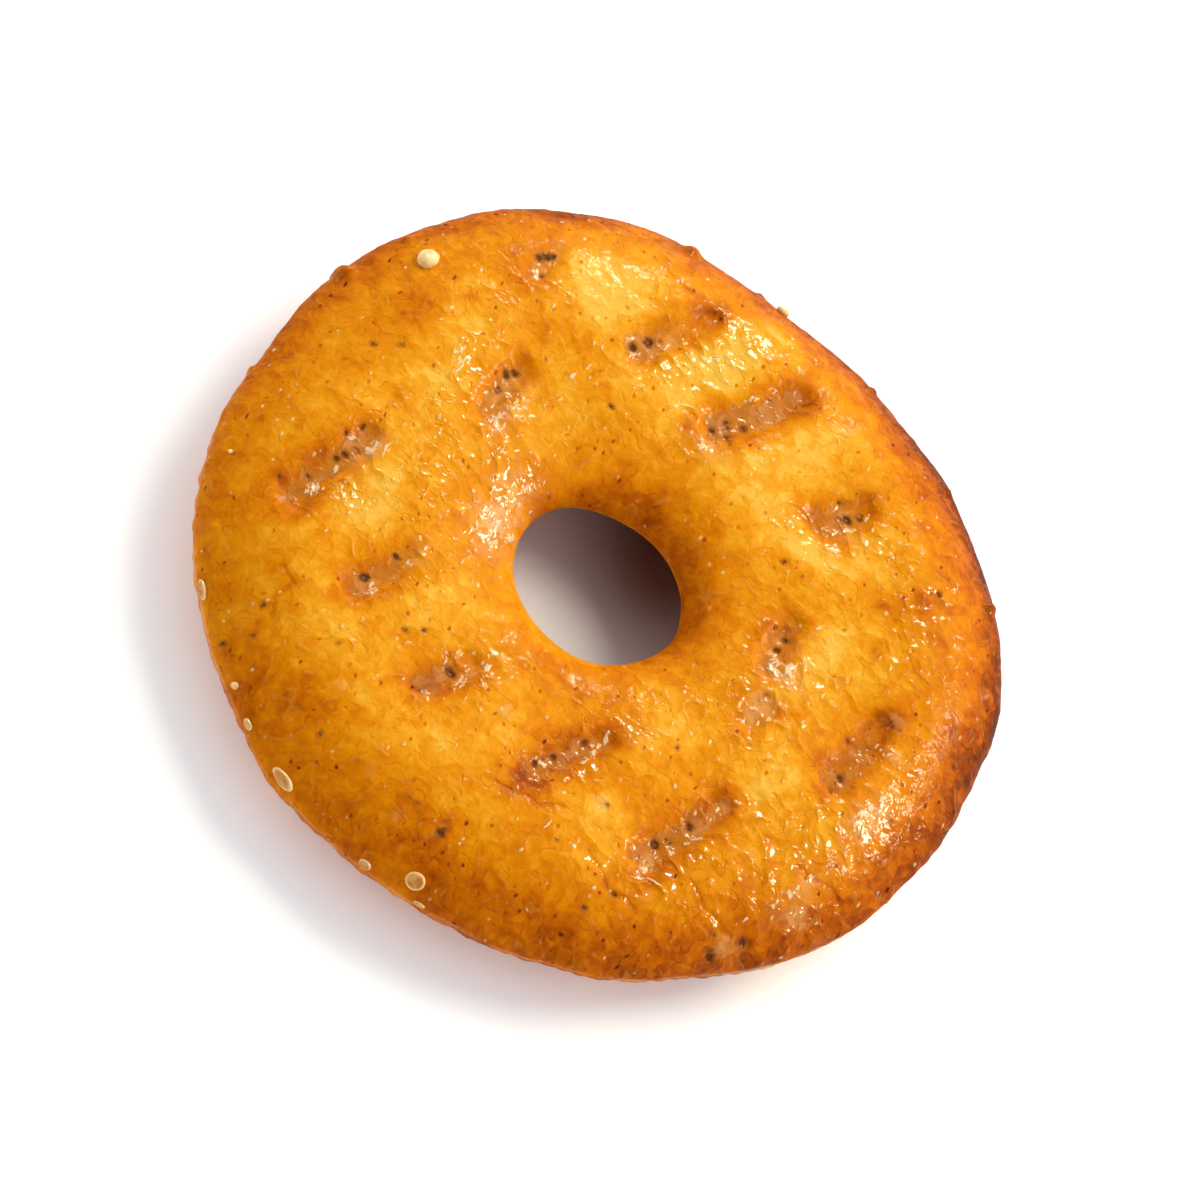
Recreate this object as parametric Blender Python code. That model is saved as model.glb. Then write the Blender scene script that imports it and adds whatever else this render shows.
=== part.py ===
"""Ring-shaped pretzel biscuit: one puffed, glazed ring of baked dough.

The ring lies with its domed face down and its flatter face up. That upper
face carries the short slanted dents that a woven oven belt leaves in soft
dough. Its rim is a thin flange, higher than the crest of the dome, and the
dome is slack and folded round the hole.

Frame: metres, +Z up, origin under the middle of the ring on the surface it
rests on. Lengths below are in millimetres and angles in degrees.
"""
import math

import bmesh
import bpy
import numpy as np

MM = 0.001

# ---- driving dimensions ----------------------------------------------------
R_RIM = 27.5  # mean radius of the rim
R_HOLE = 5.75  # mean radius at the narrowest place in the hole
HOLE_OFF = -0.45  # the hole's centre along X
Z_WAIST = 5.0  # height of the hole's narrowest place
Z_RIM = 4.35  # height of the thin rim's middle
Z_TOP = 7.85  # height of the belt face, midway between hole and rim
Z_LIP = 7.35  # height of the belt face where it starts to roll into the hole
Z_SUNK = 1.75  # height of the domed face beside the hole
Z_CREST = -0.28  # the dome's crest before it settles flat on the surface

RIM_EDGE = 0.75  # radius that rounds the rim's edge
RIM_TOP = 0.72  # half thickness of the rim above its middle
RIM_UNDER = 0.85  # and below it
FLANGE = 1.3  # width of the flat flange under the rim
TOP_ROLL_IN = 4.3  # width of the belt face's roll into the hole
TOP_ROLL_OUT = 8.6  # width of its fall to the rim
DOME_ROLL_IN = 4.3  # the same for the domed face
DOME_ROLL_OUT = 9.6
LIP_POWER = 1.22  # the domed face leaves the hole's lip at a slant, so the lip is thin
CREST_AT = 10.2  # distance from the hole to the dome's crest

# uneven outline: (waves round the ring, amplitude, phase)
RIM_WAVES = ((3, 0.35, 48), (4, 0.29, 153), (5, 0.11, -108), (8, 0.13, -140),
             (13, 0.06, 20), (19, 0.05, 75))
HOLE_WAVES = ((2, 0.20, 6), (3, 0.10, 100), (5, 0.05, 30))
RIM_SAG = ((2, 0.28, -35), (3, 0.20, 120), (5, 0.10, 10))  # the rim's height

# oven-belt dents: rows of slanted dashes at a steady pitch, some of them faint
# (along X, along Y, length, slant from +X, half width, depth)
BELT_DENTS = (
    (-16.3, 16.2, 4.0, 78, 0.80, 0.24), (-6.7, 18.1, 8.0, 66, 1.05, 0.44),
    (0.9, 17.2, 8.8, 64, 1.15, 0.50), (9.3, 14.9, 5.2, 60, 1.15, 0.36),
    (-13.2, 6.2, 5.8, 92, 0.85, 0.40), (11.2, 4.0, 5.4, 98, 0.85, 0.38),
    (12.6, -1.5, 3.2, 88, 0.90, 0.26), (19.5, 0.8, 7.6, 90, 1.05, 0.38),
    (-18.8, -6.8, 8.6, 78, 1.05, 0.46), (-12.0, -11.0, 5.8, 75, 0.90, 0.36),
    (-4.5, -14.0, 5.4, 64, 0.95, 0.36), (4.8, -13.0, 7.4, 64, 0.95, 0.40),
    (13.7, -12.2, 8.6, 75, 1.05, 0.48),
)
DENT_SLACK = 3.0  # half width of the shallow hollow that a dash sits in

FOLDS = 16  # radial folds round the dome's inner slope
# broad hollows across the dome, where the puffed dough has slumped
# (direction, half width, depth)
SLUMPS = ((22, 3.4, 1.0), (96, 5.5, 0.75), (171, 3.0, 0.95), (238, 4.6, 0.7),
          (309, 3.2, 1.05))
SPIN_STEPS = 96
FACE_STEPS = 20  # quads across each face, from hole to rim


def quarter(t, power=2.0):
    """Rises from 0 to 1 as a rounded corner does: steeply, then level."""
    t = np.clip(t, 0.0, 1.0)
    return (1.0 - (1.0 - t) ** power) ** (1.0 / power)


def ease(t):
    t = np.clip(t, 0.0, 1.0)
    return t * t * (3.0 - 2.0 * t)


def waves(theta, terms):
    return sum(a * np.cos(n * theta - math.radians(p)) for n, a, p in terms)


def lumps(x, y, size, seed, count=14):
    """Smooth uneven swelling, about -1 to 1, with humps about size across."""
    rng = np.random.RandomState(seed)
    total = np.zeros_like(x)
    for _ in range(count):
        way = rng.uniform(0.0, 2.0 * math.pi)
        k = math.pi / size * rng.uniform(0.55, 1.25)
        total += np.cos(k * (x * math.cos(way) + y * math.sin(way))
                        + rng.uniform(0.0, 2.0 * math.pi))
    return total / math.sqrt(count)


def belt_dents(x, y):
    """How far the oven belt has pressed into the upper face."""
    total = np.zeros_like(x)
    for cx, cy, length, slant, wide, depth in BELT_DENTS:
        a = math.radians(slant)
        s = (x - cx) * math.cos(a) + (y - cy) * math.sin(a)
        t = -(x - cx) * math.sin(a) + (y - cy) * math.cos(a)
        half = length / 2.0
        t = t + 0.12 * np.sin(s * 1.1 + cx)
        past = np.maximum(np.abs(s) - (half - wide), 0.0)
        away = np.hypot(t, past) - wide * (1.0 - 0.22 * s / half)
        slack = np.exp(-(t / DENT_SLACK) ** 2 - (s / (half + 2.0)) ** 2)
        total += depth * (0.58 * ease((0.55 - away) / 1.3) + 0.70 * slack)
    return total


def folds(theta, inward):
    """Creases that run from the hole up the dome: the slack skin's folds."""
    rng = np.random.RandomState(11)
    total = np.zeros_like(theta)
    for k in range(FOLDS):
        at = 2.0 * math.pi * (k + rng.uniform(-0.27, 0.27)) / FOLDS
        depth = rng.uniform(0.25, 0.75)
        start, end = rng.uniform(2.2, 4.5), rng.uniform(8.5, 13.0)
        lean = rng.uniform(-0.035, 0.035)
        across = (np.angle(np.exp(1j * (theta - at - lean * (inward - 6.0))))
                  * (inward + R_HOLE))
        along = ease((inward - start) / 2.5) * ease((end - inward) / 4.0)
        total += depth * along * np.exp(-(across / 1.15) ** 2)
    return total


def slumps(theta, inward):
    total = np.zeros_like(theta)
    for k, (at, half, depth) in enumerate(SLUMPS):
        lean = 0.02 * (-1) ** k
        across = (np.angle(np.exp(1j * (theta - math.radians(at)
                                        - lean * (inward - 8.0))))
                  * (inward + R_HOLE))
        total += depth * ease(inward / 6.0) * np.exp(-(across / half) ** 2)
    return total


def dough(rho, theta, side):
    """Place of a point of the skin. rho runs from 0 in the hole to 1 at the
    rim, theta goes round, and side is +1 on the belt face, -1 on the dome."""
    r_in = R_HOLE + waves(theta, HOLE_WAVES)
    r_out = R_RIM + waves(theta, RIM_WAVES)
    width = r_out - r_in
    inward, outward = rho * width, (1.0 - rho) * width
    r = r_in + inward
    x = r * np.cos(theta) + HOLE_OFF * (1.0 - rho)
    y = r * np.sin(theta)
    z_rim = Z_RIM + waves(theta, RIM_SAG)
    middle = Z_WAIST + (z_rim - Z_WAIST) * ease(rho)

    # belt face: a low puffed cushion with dents
    top = Z_LIP + (Z_TOP - Z_LIP) * ease((inward - 2.0) / 6.0)
    top = top + 0.20 * lumps(x, y, 11.0, 3) + 0.09 * lumps(x, y, 5.0, 4)
    top = top - belt_dents(x, y)
    rise = top - middle
    edge = RIM_TOP / np.maximum(rise, 0.5)
    fall = (edge * quarter(outward / RIM_EDGE)
            + (1.0 - edge) * (1.0 - (1.0 - np.clip(outward / TOP_ROLL_OUT, 0, 1)) ** 2.3))
    z_top = middle + rise * quarter(inward / TOP_ROLL_IN) * fall

    # domed face: a fuller cushion, sunk and folded round the hole
    under = Z_SUNK + (Z_CREST - Z_SUNK) * ease((inward - 1.8) / (CREST_AT - 1.8))
    under = under - 0.26 * lumps(x, y, 9.0, 7) - 0.10 * lumps(x, y, 4.5, 8)
    under = under + folds(theta, inward) + slumps(theta, inward)
    drop = middle - under
    edge = RIM_UNDER / np.maximum(drop, 0.5)
    shoulder = np.clip((outward - FLANGE) / DOME_ROLL_OUT, 0, 1)
    fall = (edge * quarter(outward / RIM_EDGE)
            + (1.0 - edge) * quarter(shoulder, 1.55))
    z_under = middle - drop * quarter(inward / DOME_ROLL_IN, LIP_POWER) * fall

    z = np.where(side > 0, z_top, np.where(side < 0, z_under, middle))
    return x, y, np.maximum(z, 0.0)  # the crest settles flat where it rests


def build_ring():
    # one section across the dough, spun round the hole
    bm = bmesh.new()
    r0, r1 = R_HOLE, R_RIM
    turn = [(i / FACE_STEPS, 1) for i in range(FACE_STEPS + 1)]
    turn += [(i / FACE_STEPS, -1) for i in range(FACE_STEPS - 1, 0, -1)]
    section = []
    for t, side in turn:
        rho = 0.5 * (1.0 - math.cos(math.pi * t))
        height = math.sin(math.pi * rho) * side if 0.0 < t < 1.0 else 0.0
        section.append(bm.verts.new((r0 + (r1 - r0) * rho, 0.0, 3.0 * height)))
    edges = [bm.edges.new((a, b)) for a, b in zip(section, section[1:] + section[:1])]
    bmesh.ops.spin(bm, geom=section + edges, cent=(0, 0, 0), axis=(0, 0, 1),
                   dvec=(0, 0, 0), angle=2.0 * math.pi, steps=SPIN_STEPS,
                   use_merge=True, use_duplicate=False)

    # the dough's own form
    co = np.array([v.co for v in bm.verts], float)
    radius = np.hypot(co[:, 0], co[:, 1])
    rho = np.clip((radius - r0) / (r1 - r0), 0.0, 1.0)
    side = np.where(np.abs(co[:, 2]) < 1e-5, 0, np.sign(co[:, 2]))
    x, y, z = dough(rho, np.arctan2(co[:, 1], co[:, 0]), side)
    for v, px, py, pz in zip(bm.verts, x, y, z):
        v.co = (px * MM, py * MM, pz * MM)
    bmesh.ops.recalc_face_normals(bm, faces=bm.faces)

    mesh = bpy.data.meshes.new("pretzel")
    bm.to_mesh(mesh)
    bm.free()
    mesh.shade_smooth()
    ring = bpy.data.objects.new("pretzel", mesh)
    bpy.context.scene.collection.objects.link(ring)
    return ring


def crust():
    mat = bpy.data.materials.new("crust")
    mat.use_nodes = True
    shader = mat.node_tree.nodes["Principled BSDF"]
    shader.inputs["Base Color"].default_value = (0.62, 0.27, 0.045, 1.0)
    shader.inputs["Roughness"].default_value = 0.36
    shader.inputs["Metallic"].default_value = 0.0
    return mat


for old in list(bpy.data.objects):
    bpy.data.objects.remove(old, do_unlink=True)

ring = build_ring()
ring.data.materials.append(crust())

# centre the ring over the origin, in case its uneven rim is off to one side
box = np.array([v.co for v in ring.data.vertices], float)
shift = -(box.min(0) + box.max(0)) / 2.0
for v in ring.data.vertices:
    v.co.x += shift[0]
    v.co.y += shift[1]
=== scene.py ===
"""Looks of the ring-shaped pretzel biscuit: crust, glaze, grains, floor, light and camera.

The ring's skin is worked out by the same rules as its CAD solid, on a finer
grid and with finer relief. Lengths in the rules are millimetres.
"""
import math

import bpy
import numpy as np
from mathutils import Matrix, Vector


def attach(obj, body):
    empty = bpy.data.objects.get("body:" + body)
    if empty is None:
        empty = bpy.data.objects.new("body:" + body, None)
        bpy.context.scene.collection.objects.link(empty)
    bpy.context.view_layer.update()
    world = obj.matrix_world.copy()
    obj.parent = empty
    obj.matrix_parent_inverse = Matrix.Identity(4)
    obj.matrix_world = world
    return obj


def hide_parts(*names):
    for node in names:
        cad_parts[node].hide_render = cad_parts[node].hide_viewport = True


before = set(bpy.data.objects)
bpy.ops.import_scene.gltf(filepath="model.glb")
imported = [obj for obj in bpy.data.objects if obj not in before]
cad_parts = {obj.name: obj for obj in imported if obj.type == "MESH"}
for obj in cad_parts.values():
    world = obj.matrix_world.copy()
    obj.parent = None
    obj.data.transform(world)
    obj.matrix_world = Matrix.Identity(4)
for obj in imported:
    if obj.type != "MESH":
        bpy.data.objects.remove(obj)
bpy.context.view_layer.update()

MM = 0.001

# ---------------------------------------------------------------------------
# the ring's form: the CAD solid's own rules
# ---------------------------------------------------------------------------
R_RIM = 27.5
R_HOLE = 5.75
HOLE_OFF = -0.45
Z_WAIST = 5.0
Z_RIM = 4.35
Z_TOP = 7.85
Z_LIP = 7.35
Z_SUNK = 1.75
Z_CREST = -0.28

RIM_EDGE = 0.75
RIM_TOP = 0.72
RIM_UNDER = 0.85
FLANGE = 1.3
TOP_ROLL_IN = 4.3
TOP_ROLL_OUT = 8.6
DOME_ROLL_IN = 4.3
LIP_POWER = 1.22
DOME_ROLL_OUT = 9.6
CREST_AT = 10.2

RIM_WAVES = ((3, 0.35, 48), (4, 0.29, 153), (5, 0.11, -108), (8, 0.13, -140),
             (13, 0.06, 20), (19, 0.05, 75))
HOLE_WAVES = ((2, 0.20, 6), (3, 0.10, 100), (5, 0.05, 30))
RIM_SAG = ((2, 0.28, -35), (3, 0.20, 120), (5, 0.10, 10))

# dents of the oven belt: along X, along Y, length, slant, half width, depth,
# how strongly it is marked, and where along it (-1 to 1) the film fades out
BELT_DENTS = (
    (-16.3, 16.2, 4.0, 78, 0.80, 0.24, 0.75, 1.0),
    (-6.7, 18.1, 8.0, 66, 1.05, 0.44, 0.85, 0.25),
    (0.9, 17.2, 8.8, 64, 1.15, 0.50, 1.00, 1.3),
    (9.3, 14.9, 5.2, 60, 1.15, 0.36, 0.80, 0.7),
    (-13.2, 6.2, 5.8, 92, 0.85, 0.40, 0.80, 0.9),
    (11.2, 4.0, 5.4, 98, 0.85, 0.38, 0.70, 0.9),
    (12.6, -1.5, 3.2, 88, 0.90, 0.26, 0.45, 1.5),
    (19.5, 0.8, 7.6, 90, 1.05, 0.38, 0.80, 1.1),
    (-18.8, -6.8, 8.6, 78, 1.05, 0.46, 0.95, 1.2),
    (-12.0, -11.0, 5.8, 75, 0.90, 0.36, 0.80, 0.9),
    (-4.5, -14.0, 5.4, 64, 0.95, 0.36, 0.75, 0.8),
    (4.8, -13.0, 7.4, 64, 0.95, 0.40, 0.85, 0.9),
    (13.7, -12.2, 8.6, 75, 1.05, 0.48, 1.00, 1.2),
)
DENT_SLACK = 3.0

# pinholes: along X, along Y, radius
PINHOLES = (
    (-16.75, 16.0, .30), (-16.35, 16.5, .32), (-16.1, 16.9, .20), (-15.9, 14.9, .13),
    (-7.75, 16.4, .36), (-8.25, 15.25, .30), (-7.2, 16.95, .14),
    (-0.95, 13.9, .28), (0.1, 14.25, .20), (-0.5, 15.1, .17), (0.6, 15.6, .20),
    (0.15, 16.25, .14), (-0.25, 14.8, .13), (0.9, 18.6, .12),
    (8.6, 15.7, .20), (10.2, 15.7, .19), (9.6, 15.0, .34), (9.0, 14.6, .14),
    (-13.3, 7.75, .27), (-13.6, 7.2, .24), (-13.4, 5.95, .20), (-13.9, 6.6, .12),
    (-18.75, -3.2, .20), (-19.3, -4.4, .22), (-18.45, -5.6, .29), (-18.75, -6.2, .27),
    (-19.4, -8.5, .19), (-20.9, -9.9, .26), (-20.5, -10.1, .18), (-18.1, -4.8, .13),
    (-12.6, -12.05, .36), (-11.8, -9.4, .19), (-4.4, -13.75, .37), (-5.2, -12.9, .13),
    (5.1, -11.4, .24), (4.1, -13.75, .20), (3.4, -15.0, .18),
    (13.7, -11.45, .29), (13.3, -13.3, .23), (12.7, -14.1, .34), (13.3, -12.3, .12),
    (18.55, 1.3, .23), (19.55, -1.4, .32), (19.6, -2.6, .21), (19.9, 2.0, .13),
    (11.25, 4.5, .20), (11.25, 3.5, .18), (10.9, 5.3, .13), (12.5, -0.1, .17),
    (21.0, -15.1, .34), (19.95, -17.3, .30), (21.6, -15.5, .14), (1.45, -23.6, .32),
    (1.55, -23.1, .18), (17.4, 14.5, .22), (8.1, 9.1, .19), (-7.0, 10.2, .17),
    (-7.4, -12.6, .16), (-8.4, -13.5, .18), (8.75, -14.4, .13), (11.6, -21.3, .17),
    (13.3, -21.75, .13), (7.6, -19.0, .12), (19.2, -16.2, .18), (12.55, -19.25, .22),
    (-20.2, 3.4, .17), (-21.6, 2.4, .18), (-20.4, 7.5, .14), (-16.5, -18.0, .17),
    (-17.0, -21.2, .15), (-15.8, -20.0, .15), (-11.75, -22.1, .13), (-8.5, -23.0, .13),
    (-0.9, -23.1, .17), (25.0, 5.4, .16), (10.0, -7.6, .12), (-11.2, -17.4, .10),
)

# soft patches of the bake: along X, along Y, half sizes, slant, darker (+) or paler (-)
PATCHES = (
    (12.6, 12.3, 1.8, 1.8, 0, -.03),
    (-11.7, 18.0, 3.0, 3.0, 0, -.20), (-3.2, 17.5, 1.7, 3.8, -20, -.21),
    (5.2, 17.5, 2.0, 4.0, -15, -.12), (-1.0, 23.2, 2.5, 1.2, 0, -.14),
    (9.0, 10.8, 2.2, 1.2, 0, -.18), (13.8, 5.6, 1.6, 2.8, 0, -.17),
    (17.0, -4.6, 3.4, 2.0, -20, -.11), (8.0, -6.0, 2.4, 2.0, 0, -.11),
    (-15.5, -6.0, 1.8, 4.0, 0, -.15), (-6.5, -8.8, 3.0, 1.8, 0, -.10),
    (-11.5, -16.5, 3.4, 2.0, -20, -.10), (-3.5, -18.7, 3.4, 1.8, -10, -.08),
    (-17.0, 5.0, 1.6, 3.0, 0, -.11), (9.5, -17.0, 3.2, 1.7, 20, -.10),
    (8.4, -14.6, 0.8, 0.8, 0, -.25), (0.6, -15.4, 1.7, 2.0, 0, -.08),
    (-9.6, 6.0, 1.4, 3.0, 10, -.08), (3.0, 11.5, 4.5, 1.5, 0, -.08),
    (22.0, 12.0, 1.5, 3.0, 40, -.06), (-7.5, 13.5, 2.0, 1.2, 0, -.06),
    (-14.0, 12.6, 4.6, 1.1, -6, .11), (15.2, 11.3, 2.0, 1.3, 30, .17),
    (16.3, 7.8, 0.7, 0.5, -20, .24), (20.5, 9.0, 1.8, 3.0, 0, .06),
    (-20.9, 6.2, 1.5, 2.9, 0, .17), (-21.5, -12.5, 1.3, 3.0, 30, .04),
    (-17.5, 21.0, 3.0, 1.6, 40, .14), (-5.4, 21.2, 1.1, 1.9, -20, .14),
    (2.3, 20.4, 1.1, 1.8, -20, .13), (-12.0, -22.0, 5.0, 2.2, -22, .07),
    (4.0, -24.0, 7.0, 2.0, 5, .07), (-5.3, -15.9, 0.7, 1.2, -20, .20),
    (-12.8, -13.4, 0.7, 0.8, 0, .20), (3.2, -16.6, 0.8, 0.8, 0, .20),
    (20.5, -14.0, 1.6, 3.2, 40, .07), (24.6, -3.0, 1.3, 5.0, 0, .03),
    (24.6, 7.5, 1.3, 5.0, 20, .08), (18.2, -2.0, 1.0, 3.6, 0, .09), (5.0, -17.8, 3.4, 2.0, 0, .15),
    (17.5, -20.0, 3.0, 1.6, 45, .10),
    (-2.4, 12.5, 0.5, 0.5, 0, .22), (17.0, 13.4, 1.1, 0.8, 50, .16),
    (1.5, -22.9, 0.6, 0.6, 0, .20), (-18.7, 9.9, 0.6, 0.4, 15, .28),
    (7.8, 13.4, 0.9, 0.7, 30, .16), (9.9, 17.4, 0.7, 1.0, -20, .12),
    (-13.2, 9.2, 0.7, 1.0, 0, .12), (19.2, 4.6, 0.8, 1.0, 0, .12),
    (14.3, -7.8, 0.7, 1.0, 0, .10), (-0.6, -8.0, 5.0, 1.6, 0, .07),
    (20.2, 4.6, 1.1, 1.3, 0, .20), (13.0, 12.6, 1.3, 1.0, 0, -.10), (15.2, -6.0, 1.4, 1.2, 0, -.09),
    (4.8, -12.8, 0.9, 3.2, -24, .07), (11.3, 4.6, 0.8, 1.6, 0, .10), (19.5, 0.4, 0.9, 3.0, 0, .08),
)

# pinkish, paler films, partly of dried glaze and partly a painted sheen: along X, along Y, half sizes,
# slant
FILMS_AND_SHEENS = (
    (12.7, -1.3, 0.95, 1.4, -4), (13.1, -15.8, 0.45, 0.95, -12), (14.5, -9.4, 0.55, 1.2, -10),
    (8.3, -14.4, 0.55, 0.60, 0), (20.4, -16.0, 0.7, 1.1, -55), (-16.2, 17.9, 0.45, 0.8, -10),
    (21.6, 2.5, 0.9, 0.5, 5), (22.6, -3.0, 0.9, 1.4, -10), (-12.2, 4.3, 0.5, 0.9, -10),
    (-17.3, -4.0, 0.4, 0.9, -6), (23.0, -11.0, 0.7, 1.4, -35), (-3.4, -13.2, 0.4, 0.9, -18),
    (-6.6, 17.3, 0.35, 0.35, 0), (12.7, 2.6, 0.6, 0.45, 0), (-0.6, 12.6, 0.4, 0.4, 0),
    (-8.0, -1.6, 0.8, 1.6, 8), (20.4, 4.5, 0.55, 0.65, 0), (-0.1, -13.6, 0.45, 0.65, -20),
    (-1.4, -24.3, 0.40, 0.50, 10), (-4.6, -23.0, 0.30, 0.40, 30), (-9.5, -19.6, 0.35, 0.50, 60),
)

# where the glaze is thick and wrinkled: along X, along Y, half sizes, slant, amount
GLAZED = (
    (-16.2, 6.0, 1.2, 3.2, 0, 0.8), (-11.8, 4.5, 1.3, 3.5, 0, 1.0), (-8.2, -1.0, 1.7, 4.2, 10, 1.1),
    (-17.6, -6.5, 1.6, 4.5, 0, 0.9), (-10.6, -8.6, 1.2, 2.0, 0, 0.9), (-3.3, -12.8, 1.2, 2.6, -15, 0.9),
    (-3.6, 17.8, 2.0, 3.6, -15, 0.9), (-1.0, 12.6, 2.4, 1.4, 0, 0.8), (9.6, 13.6, 2.6, 1.6, 20, 0.9),
    (12.8, 2.4, 1.7, 2.4, 0, 1.1), (12.9, -2.2, 1.2, 2.6, 0, 0.9), (22.6, -2.8, 1.8, 3.4, -10, 1.1),
    (21.4, 2.0, 1.2, 1.2, 0, 0.5), (19.4, -9.2, 2.4, 3.2, -20, 0.9), (23.2, -12.0, 1.6, 3.6, -35, 1.0),
    (14.2, -15.8, 2.6, 2.2, 0, 0.8), (17.6, 11.6, 2.4, 3.0, 30, 0.8), (5.9, -12.2, 1.0, 3.0, -15, 0.8),
    (15.2, -10.5, 1.0, 3.2, -10, 0.9), (20.5, -16.0, 1.6, 2.4, -50, 0.9), (-6.2, 17.0, 1.2, 2.4, -20, 0.7),
    (12.5, -17.5, 4.0, 1.6, 10, 0.6), (-13.5, -3.0, 2.0, 4.0, 0, 0.5), (14.6, -2.0, 2.0, 5.0, 0, 0.6),
)

# painted sheen: soft pale patches where the glaze shines: along X, along Y, half sizes, slant, amount
PAINTED_SHEENS = (
    (-8.2, -1.4, 1.5, 3.0, 8, 0.95), (12.6, 2.3, 1.1, 1.3, 0, 0.75), (22.7, -2.6, 0.9, 2.0, -10, 0.85),
    (-11.9, 5.0, 0.6, 1.9, 0, 0.60), (-0.6, 12.4, 1.2, 0.7, 0, 0.65), (9.8, 13.9, 1.0, 0.6, 20, 0.45),
    (-17.3, -4.4, 0.6, 1.5, 0, 0.45), (-10.7, -8.4, 0.5, 0.9, 0, 0.45), (22.0, -10.0, 0.8, 2.2, -10, 0.35),
)
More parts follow.
